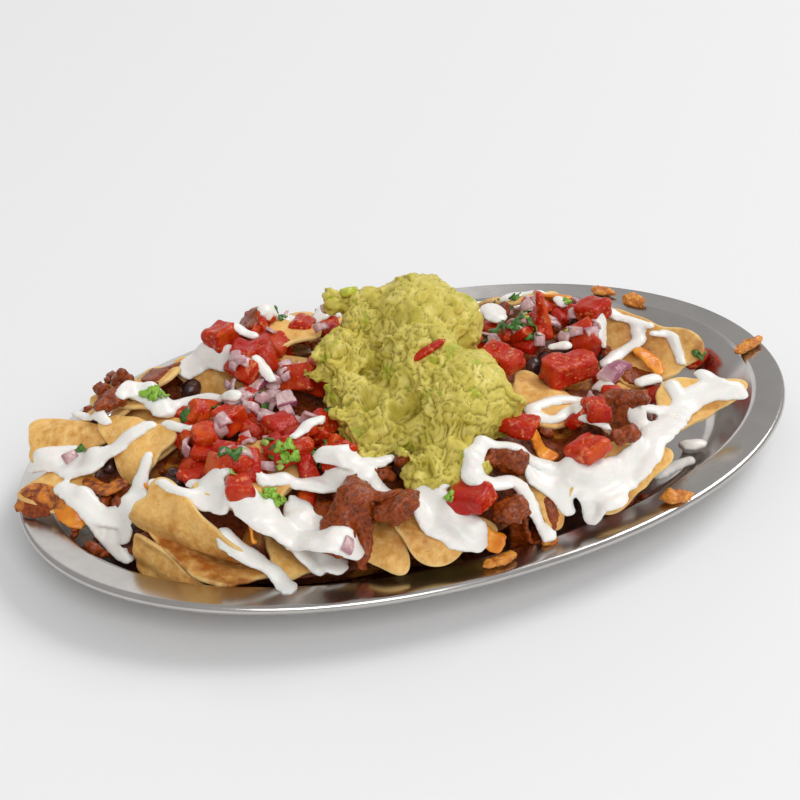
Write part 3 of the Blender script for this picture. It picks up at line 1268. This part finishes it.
# each run of cream is a route of (x, y, height, width) in mm; it keeps near the given height,
# on what is there or over a gap, and with no height it just lies on what is there
cremaLook = {"thickness": 3.4, "voxel": 0.7, "smoothing": 4, "step": 1.1, "widen": 1.1,
             "extra": 1.0}
crema = {
    "leftEnd": [
        [(-162, 26, 32, 4), (-153, 21, 33, 9), (-145, 13, 36, 9), (-135, 10, 42, 5),
         (-124, 10, 46, 4), (-116, 11, 48, 3)],
        [(-156, 8, 32, 5), (-152, -1, 32, 8), (-148, -11, 27, 8), (-145, -18, 16, 6),
         (-141, -24, 7, 4)],
        [(-122, -2, 45, 2), (-128, -9, 39, 4), (-135, -17, 30, 8), (-140, -21, 20, 5)],
        [(-149, -10, 28, 6), (-143, -15, 27, 5), (-137, -18, 27, 6)],
        [(-140, 38, 46, 2), (-135, 28, 48, 2), (-131, 22, 49, 2)],
    ],
    "left": [
        [(-128, -26, 48, 3), (-123, -36, 45, 5), (-115, -44, 46, 6), (-107, -51, 46, 7),
         (-99, -58, 46, 10), (-93, -64, 42, 14), (-86, -67, 35, 14), (-80, -72, 27, 12),
         (-75, -78, 18, 8)],
        [(-114, -32, 47, 3), (-107, -41, 49, 4), (-101, -41, 48, 3)],
        [(-112, -60, 35, 5), (-105, -67, 32, 6), (-98, -73, 27, 5), (-95, -80, 22, 5)],
        [(-80, -58, 38, 11), (-76, -64, 34, 7)],
        [(-86, -70, 35, 10), (-78, -82, 41, 11), (-71, -85, 35, 8)],
    ],
    "pico": [
        [(-90, -47, 48, 4), (-78, -50, 47, 5), (-68, -53, 45, 6), (-59, -56, 44, 6),
         (-52, -62, 44, 6)],
        [(-66, -47, 54, 4), (-59, -52, 54, 6), (-53, -56, 52, 5), (-46, -57, 50, 4),
         (-40, -56, 49, 2)],
        [(-72, -36, 58, 2), (-65, -32, 58, 3), (-58, -30, 56, 2)],
        [(-122, 29, 55, 3), (-115, 34, 52, 7), (-109, 29, 50, 9), (-108, 20, 49, 7)],
        [(-106, 18, 48, 3), (-99, 22, 49, 4), (-88, 16, 52, 4), (-82, 4, 54, 4)],
        [(-110, 8, 50, 3), (-104, -4, 52, 3)],
        [(-90, 41, 50, 6), (-83, 45, 51, 9), (-78, 42, 52, 8), (-74, 34, 54, 6)],
        [(-66, 17, 62, 3), (-64, 8, 59, 3)],
        [(-66, 40, 62, 4), (-61, 35, 62, 3)],
    ],
    "front": [
        [(-56, -56, 43, 5), (-49, -66, 43, 6), (-42, -76, 43, 9), (-36, -84, 40, 14),
         (-30, -92, 35, 13), (-24, -97, 32, 9)],
        [(-8, -71, 56, 4), (-14, -77, 54, 6), (-17, -84, 52, 8), (-10, -88, 50, 7),
         (0, -87, 47, 5), (4, -95, 37, 5), (8, -98, 26, 6)],
        [(-6, -69, 54, 4), (3, -73, 54, 5), (12, -77, 48, 5), (18, -79, 44, 6)],
        [(-32, -79, 41, 2), (-28, -79, 42, 2)],
    ],
    "right": [
        [(14, -78, 45, 6), (24, -82, 42, 8), (31, -88, 38, 15), (35, -95, 35, 16),
         (30, -98, 28, 9)],
        [(10, -84, 44, 6), (17, -89, 38, 8), (19, -94, 32, 5)],
        [(36, -92, 36, 13), (48, -90, 36, 11), (58, -88, 41, 9), (68, -80, 44, 10),
         (80, -72, 42, 10), (90, -63, 38, 9), (100, -56, 36, 8), (112, -54, 37, 8),
         (125, -59, 37, 5)],
        [(114, -46, 43, 5), (119, -53, 40, 6)],
        [(98, -44, 40, 5), (98, -52, 38, 5)],
        [(63, -42, 47, 2), (66, -52, 50, 4), (75, -58, 44, 4), (88, -57, 38, 5)],
        [(28, -48, 50, 4), (38, -46, 48, 4), (50, -46, 46, 3), (53, -51, 46, 3)],
        [(27, -52, 50, 5), (34, -57, 47, 3), (43, -55, 47, 4), (46, -65, 44, 5), (50, -71, 43, 4)],
        [(64, -61, 44, 3), (69, -68, 42, 4), (69, -76, 42, 6)],
        [(89, -36, 40, 4), (96, -36, 40, 4)],
        [(85, -62, 1, 3), (93, -59, 1, 5), (103, -58, 1, 3)],
        [(110, -48, 2, 9), (112, -48, 2, 9)],
    ],
    "rightBack": [
        [(107, -17, 50, 2), (115, -18, 46, 3), (114, -30, 40, 2)],
        [(96, 2, 52, 4), (102, -4, 51, 2), (109, -11, 50, 2)],
        [(104, -8, 46, 4), (102, -13, 45, 4), (92, -14, 42, 4), (82, -19, 42, 4)],
        [(87, -5, 52, 3), (82, -10, 46, 6)],
        [(60, -9, 51, 2), (65, -12, 52, 4)],
        [(56, 39, 46, 9), (54, 30, 47, 6)],
        [(86, 30, 44, 3), (86, 27, 44, 3)],
    ],
    "back": [
        [(-96, 56, 0, 4), (-84, 62, 0, 7), (-72, 58, 0, 9), (-62, 66, 0, 11)],
        [(-48, 54, 0, 5), (-36, 64, 0, 8), (-22, 58, 0, 6), (-10, 68, 0, 10)],
        [(8, 58, 0, 4), (20, 68, 0, 8), (34, 60, 0, 5), (48, 66, 0, 9), (58, 58, 0, 5)],
        [(70, 50, 0, 4), (80, 54, 0, 7), (90, 44, 0, 5), (102, 40, 0, 6)],
    ],
}

# melted and baked cheese, as routes like the cream's
meltedLook = {"thickness": 2.0, "voxel": 0.6, "smoothing": 2, "step": 1.1, "widen": 1.0,
              "extra": 0.6}
melted = {
    "crust": [
        [(-173, 12, 26, 4), (-167, 14, 28, 6), (-162, 8, 29, 6), (-158, 1, 28, 5)],
        [(-145, 6, 33, 5), (-141, -3, 34, 6), (-136, -4, 36, 5)],
    ],
    "cheese": [
        [(-159, 2, 27, 4), (-157, -4, 26, 7), (-155, -8, 25, 5)],
        [(-130, -25, 47, 2), (-125, -30, 46, 3), (-120, -35, 44, 2)],
        [(-102, -63, 45, 0.6), (-102, -65, 35, 0.6)],
        [(20, -65, 44, 5), (24, -70, 42, 6)],
        [(99, -19, 44, 4), (101, -25, 42, 6), (101, -32, 40, 4)],
        [(-21, -96, 32, 3), (-15, -102, 28, 3)],
        [(-48, 60, 0, 8), (-40, 66, 0, 6)], [(30, 58, 0, 9), (36, 64, 0, 6)],
        [(84, 42, 0, 7), (90, 34, 0, 8)],
    ],
}

# chilli sauce over the chips between the lumps of beef
sauce = [
    [(-71, -62, 0, 9), (-66, -70, 0, 16), (-66, -79, 0, 12)],
    [(-56, -70, 0, 10), (-50, -78, 0, 8)], [(-135, -3, 0, 6), (-131, -9, 0, 6)],
    [(-170, 10, 0, 5), (-164, 6, 0, 7)], [(0, -92, 0, 8), (10, -94, 0, 8)],
    [(58, -62, 0, 12), (62, -70, 0, 8)], [(100, -34, 0, 6), (92, -26, 0, 10)],
    [(-60, 52, 0, 12), (-50, 62, 0, 8)], [(12, 56, 0, 12), (20, 64, 0, 8)],
    [(62, 46, 0, 12), (56, 54, 0, 8)], [(-104, 44, 0, 8), (-94, 50, 0, 10)],
]

closePile(3)
pourPiece("chilli_sauce", sauce, meltedLook, "beef", "beef")
for part, pours in crema.items():
    pourPiece("crema_" + part, pours, cremaLook, "crema", "cheese")
pourPiece("cheese_melted", melted["cheese"], meltedLook, "cheese", "cheese")
pourPiece("cheese_crust", melted["crust"], meltedLook, "burnt", "cheese")
print("crema and cheese done")

# onion that lies on the cream, as (x, y, length, width, turn) in mm and degrees
onionOnCrema = [(-149, 18, 6, 4.5, 10), (-73, -88, 7, 5, 60)]
# crumbs on the rim, as (x, y, turn) and their half length, width and height in mm
rimCrumbs = [(53, -97.5, 10, 4.2, 2.6, 1.6), (47, -98.5, 35, 2.6, 1.2, 0.9),
             (9, -99.5, 8, 3.4, 1.5, 1.1)]


def placeOnion():
    rng = random.Random(17)
    shape = shapeWith("skin", "tint")
    skin = shape.verts.layers.float["skin"]
    for x, y, length, width, turn in onionOnCrema:
        matrix = layMatrix(x, y, 2, 0.8, math.radians(turn))
        petalInto(shape, matrix, (length, width, 2.2), rng, skin)
    bmesh.ops.recalc_face_normals(shape, faces=shape.faces)
    addPiece("onion_on_crema", shape, finishes["onion"], "onion")


def placeCrumbs():
    shape = bmesh.new()
    for x, y, turn, *size in rimCrumbs:
        spot = Vector((x, y, platter["height"] + 0.6 * size[2])) * mm
        matrix = Matrix.Translation(spot) @ Matrix.Rotation(math.radians(turn), 4, "Z")
        lumpInto(shape, matrix, size, Vector((x, y, 0)))
    bmesh.ops.recalc_face_normals(shape, faces=shape.faces)
    roughen(shape, toppings["baked_cheese"]["rough"], 9)
    addPiece("crisp_crumbs", shape, finishes["crust"], "cheese")


surveyPile()
placeLeaves()
placeOnion()
placeCrumbs()
print("herbs and crumbs done")


# lamps are (power, size, place) in watts and metres, all turned to the food
studio = {
    "floor": (0.83, 0.83, 0.835), "sky": (1.0, 0.995, 0.985), "skyStrength": 0.44,
    "lamps": {"key": (70, 1.9, (2.6, 0.4, 2.9)), "front": (30, 1.6, (-0.4, -1.9, 1.9)),
              "back": (15, 3, (0.3, 3.4, 1.3))},
    "lampAim": (0, 0, 0.03),
}


def makeFloor():
    shape = bmesh.new()
    bmesh.ops.create_grid(shape, x_segments=1, y_segments=1, size=6)
    mesh = bpy.data.meshes.new("floor")
    shape.to_mesh(mesh)
    shape.free()
    floor = bpy.data.objects.new("floor", mesh)
    mesh.materials.append(newFinish("floor_paper", studio["floor"], 0.9))
    bpy.context.scene.collection.objects.link(floor)


def addLamp(name, energy, size, spot):
    lamp = bpy.data.lights.new(name, "AREA")
    lamp.energy = energy
    lamp.size = size
    holder = bpy.data.objects.new(name, lamp)
    bpy.context.scene.collection.objects.link(holder)
    holder.location = spot
    way = Vector(studio["lampAim"]) - Vector(spot)
    holder.rotation_euler = way.to_track_quat("-Z", "Y").to_euler()


# angles in degrees, distance and the height it aims at in metres, lens and film in mm
lens = {"yaw": 26.12, "pitch": 33.39, "distance": 0.782, "aim": 0.022, "focal": 81, "film": 36,
        "shiftX": -0.0234, "shiftY": 0.0294}


def addCamera():
    camera = bpy.data.cameras.new("camera")
    camera.sensor_width = lens["film"]
    camera.lens = lens["focal"]
    camera.shift_x = lens["shiftX"]
    camera.shift_y = lens["shiftY"]
    holder = bpy.data.objects.new("camera", camera)
    bpy.context.scene.collection.objects.link(holder)
    tilt = Euler((math.radians(90 - lens["pitch"]), 0, math.radians(-lens["yaw"])))
    back = tilt.to_matrix() @ Vector((0, 0, lens["distance"]))
    holder.rotation_euler = tilt
    holder.location = back + up * lens["aim"]
    bpy.context.scene.camera = holder


def lightScene():
    world = bpy.data.worlds.new("studio")
    world.use_nodes = True
    background = world.node_tree.nodes["Background"]
    background.inputs["Color"].default_value = (*studio["sky"], 1)
    background.inputs["Strength"].default_value = studio["skyStrength"]
    bpy.context.scene.world = world
    for name, (energy, size, spot) in studio["lamps"].items():
        addLamp(name, energy, size, spot)
    bpy.context.scene.view_settings.view_transform = "Standard"


makeFloor()
lightScene()
addCamera()
